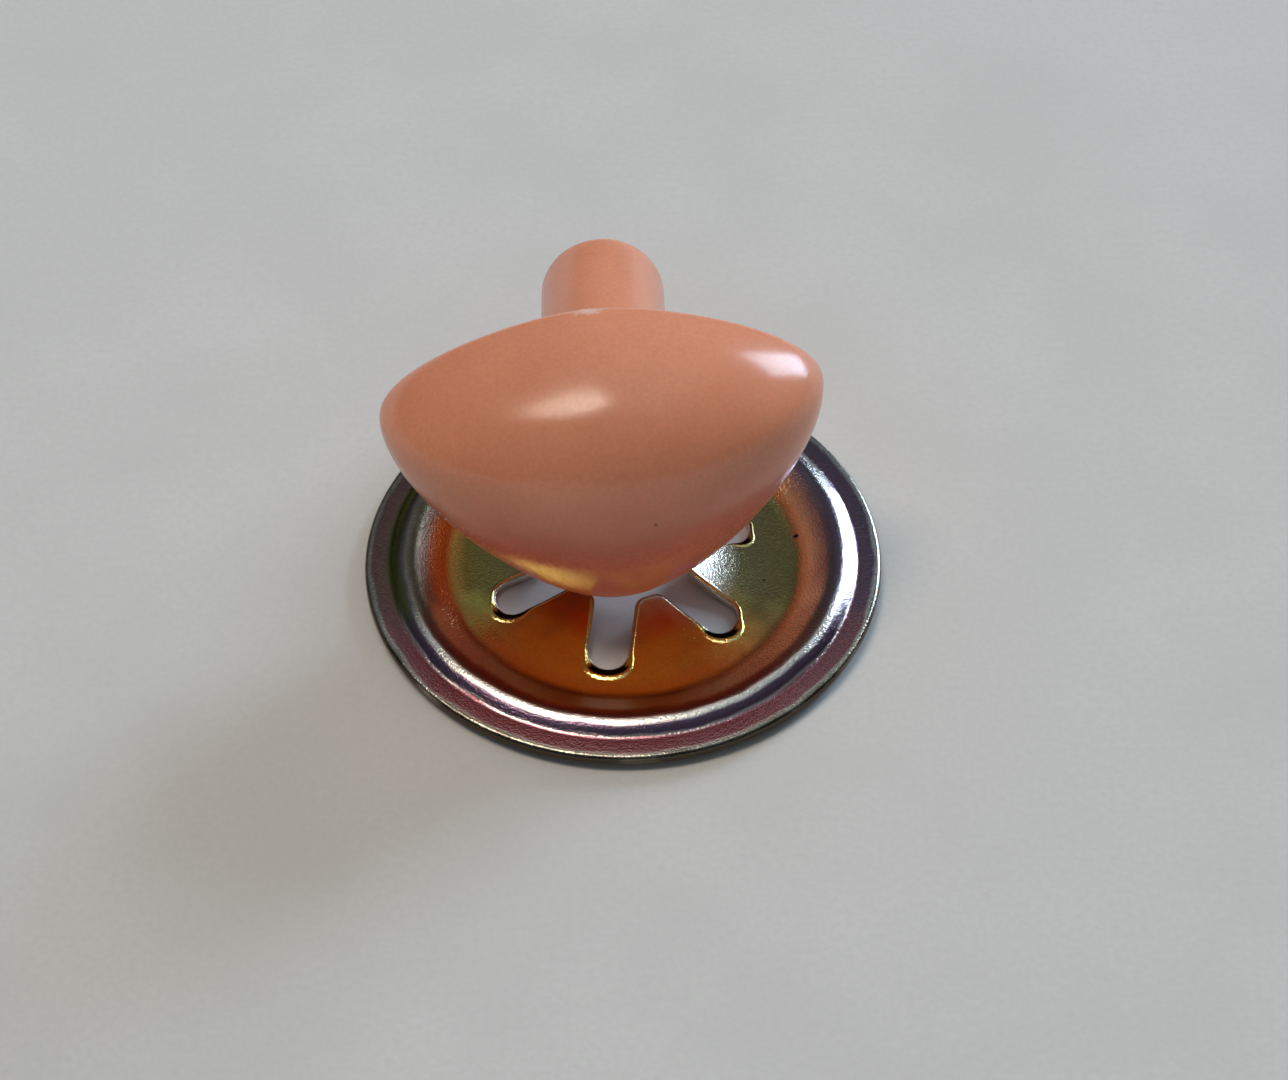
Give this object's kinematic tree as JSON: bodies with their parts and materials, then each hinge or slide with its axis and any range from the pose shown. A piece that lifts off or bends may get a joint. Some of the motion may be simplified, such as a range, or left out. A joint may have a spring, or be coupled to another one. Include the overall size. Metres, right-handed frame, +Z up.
{
  "type": "push-on craft nose with lock washer",
  "caption": "Rounded-triangle moulded plastic toy nose with a smooth rear post, resting loose on its stamped steel star lock washer with sprung teeth and a raised ring.",
  "frame": {"origin": "bottom centre of the pair's bounding box, on the surface that the washer lies on", "axes": "+Z up and along the washer's axis, the front of the nose facing -Y, its width along X"},
  "size_m": [0.0254, 0.0296, 0.0157],
  "materials": {
    "nose_plastic": "satin injection-moulded plastic, salmon pink all through",
    "washer_steel": "stamped steel, bright zinc plated with an iridescent yellow chromate"
  },
  "bodies": {
    "washer": {"lock_washer": "washer_steel"},
    "nose": {"nose": "nose_plastic"}
  },
  "joints": [
    {"name": "nose_lift", "type": "slide", "parent": "washer", "child": "nose", "axis": [0, 0, 1], "range_m": [0, 0.03]}
  ]
}
